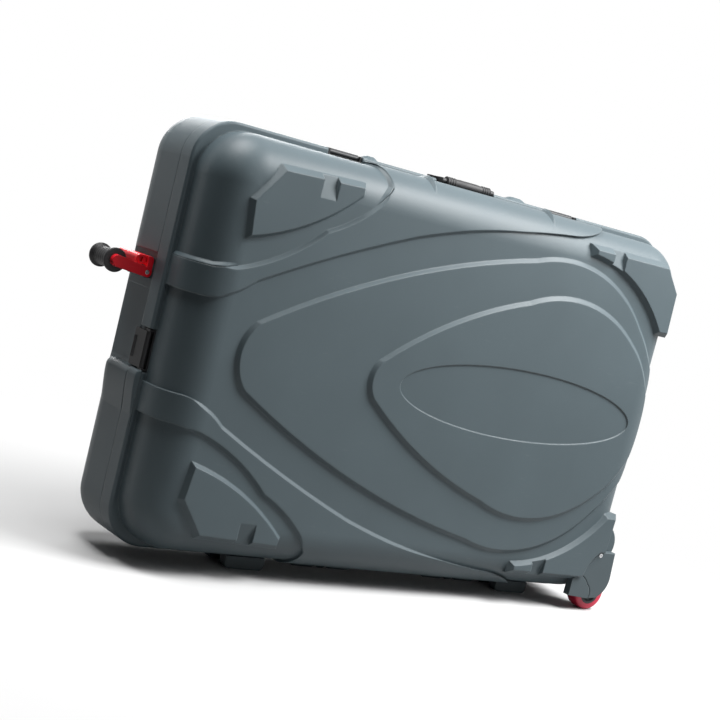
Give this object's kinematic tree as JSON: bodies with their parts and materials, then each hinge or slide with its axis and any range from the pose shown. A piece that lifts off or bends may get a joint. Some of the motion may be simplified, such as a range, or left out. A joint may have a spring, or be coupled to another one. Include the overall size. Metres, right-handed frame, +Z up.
{
  "type": "bicycle travel case",
  "caption": "Hard-shell travel case for a bicycle: hinged half shells with raised leaf relief, rim latches, carry and pull handles, and corner wheels.",
  "frame": {"origin": "on the floor under the middle of the whole, from the pull handle's grip to the wheels, and on the parting plane between the two halves", "axes": "+X along the case from the pull handle to the wheels, +Y from the front half to the rear half, +Z up from the feet to the top rim"},
  "size_m": [1.276, 0.318, 0.824],
  "materials": {
    "shell_plastic": "fine moulded grain, semi-matt dark grey-blue",
    "black_plastic": "matt black moulding",
    "grey_plastic": "satin dark grey moulding",
    "red_plastic": "satin red moulding",
    "soft_grip": "soft black rubber",
    "bright_steel": "bright zinc-plated steel",
    "red_tyre": "solid red polyurethane",
    "hub_plastic": "dark grey moulding",
    "seal_rubber": "black foam rubber strip",
    "foam": "dark grey foam sheet",
    "webbing": "black woven webbing"
  },
  "bodies": {
    "rear_half": {"rear_shell": "shell_plastic", "rim_seal": "seal_rubber", "rear_hinge_lugs": "shell_plastic", "hinge_pins": "bright_steel", "rear_feet": "shell_plastic", "latch_strikes": "black_plastic", "pull_handle_base": "shell_plastic", "pull_handle_pin": "bright_steel", "rear_axle": "bright_steel", "rear_axle_bushes": "black_plastic", "rear_wheel_fork": "black_plastic", "rear_wheel_cover": "shell_plastic", "rear_cover_bolt": "bright_steel", "rear_wheel_skid": "shell_plastic", "rear_liner": "foam", "tie_straps": "webbing", "strap_buckles": "black_plastic", "strap_anchors": "black_plastic"},
    "front_half": {"front_shell": "shell_plastic", "front_hinge_lugs": "shell_plastic", "front_feet": "shell_plastic", "latch_bases": "black_plastic", "latch_pins": "bright_steel", "latch_rivets": "bright_steel", "carry_brackets": "black_plastic", "carry_pins": "bright_steel", "front_axle": "bright_steel", "front_axle_bushes": "black_plastic", "front_wheel_fork": "black_plastic", "front_wheel_cover": "shell_plastic", "front_cover_bolt": "bright_steel", "front_wheel_skid": "shell_plastic", "front_liner": "foam"},
    "front_wheel": {"front_wheel_tyre": "red_tyre", "front_wheel_hub": "hub_plastic"},
    "rear_wheel": {"rear_wheel_tyre": "red_tyre", "rear_wheel_hub": "hub_plastic"},
    "carry_handle": {"carry_frame": "black_plastic", "carry_grip": "soft_grip"},
    "pull_handle": {"pull_handle_arms": "red_plastic", "pull_handle_grip": "soft_grip"},
    "top_left_lever": {"top_left_lever": "grey_plastic"},
    "top_right_lever": {"top_right_lever": "grey_plastic"},
    "left_end_lever": {"left_end_lever": "black_plastic"},
    "right_end_lever": {"right_end_lever": "black_plastic"}
  },
  "joints": [
    {"name": "lid_hinge", "type": "hinge", "parent": "rear_half", "child": "front_half", "pos_m": [0.041, 0, 0.014], "axis": [1, 0, 0], "range_deg": [0, 95]},
    {"name": "front_wheel_spin", "type": "hinge", "parent": "front_half", "child": "front_wheel", "pos_m": [0.598, -0.112, 0.04], "axis": [0, 1, 0], "continuous": true},
    {"name": "rear_wheel_spin", "type": "hinge", "parent": "rear_half", "child": "rear_wheel", "pos_m": [0.598, 0.112, 0.04], "axis": [0, 1, 0], "continuous": true},
    {"name": "top_left_latch", "type": "hinge", "parent": "front_half", "child": "top_left_lever", "pos_m": [-0.2363, -0.03, 0.81], "axis": [1, 0, 0], "range_deg": [0, 105]},
    {"name": "top_right_latch", "type": "hinge", "parent": "front_half", "child": "top_right_lever", "pos_m": [0.3183, -0.03, 0.81], "axis": [1, 0, 0], "range_deg": [0, 105]},
    {"name": "left_end_latch", "type": "hinge", "parent": "front_half", "child": "left_end_lever", "pos_m": [-0.544, -0.03, 0.385], "axis": [0, 0, 1], "range_deg": [0, 105]},
    {"name": "right_end_latch", "type": "hinge", "parent": "front_half", "child": "right_end_lever", "pos_m": [0.626, -0.03, 0.385], "axis": [0, 0, -1], "range_deg": [0, 105]},
    {"name": "carry_handle_fold", "type": "hinge", "parent": "front_half", "child": "carry_handle", "pos_m": [0.05516, -0.014, 0.814], "axis": [-1, 0, 0], "range_deg": [0, 100]},
    {"name": "pull_handle_fold", "type": "hinge", "parent": "rear_half", "child": "pull_handle", "pos_m": [-0.556, 0.055, 0.518], "axis": [0, -1, 0], "range_deg": [0, 80]}
  ]
}
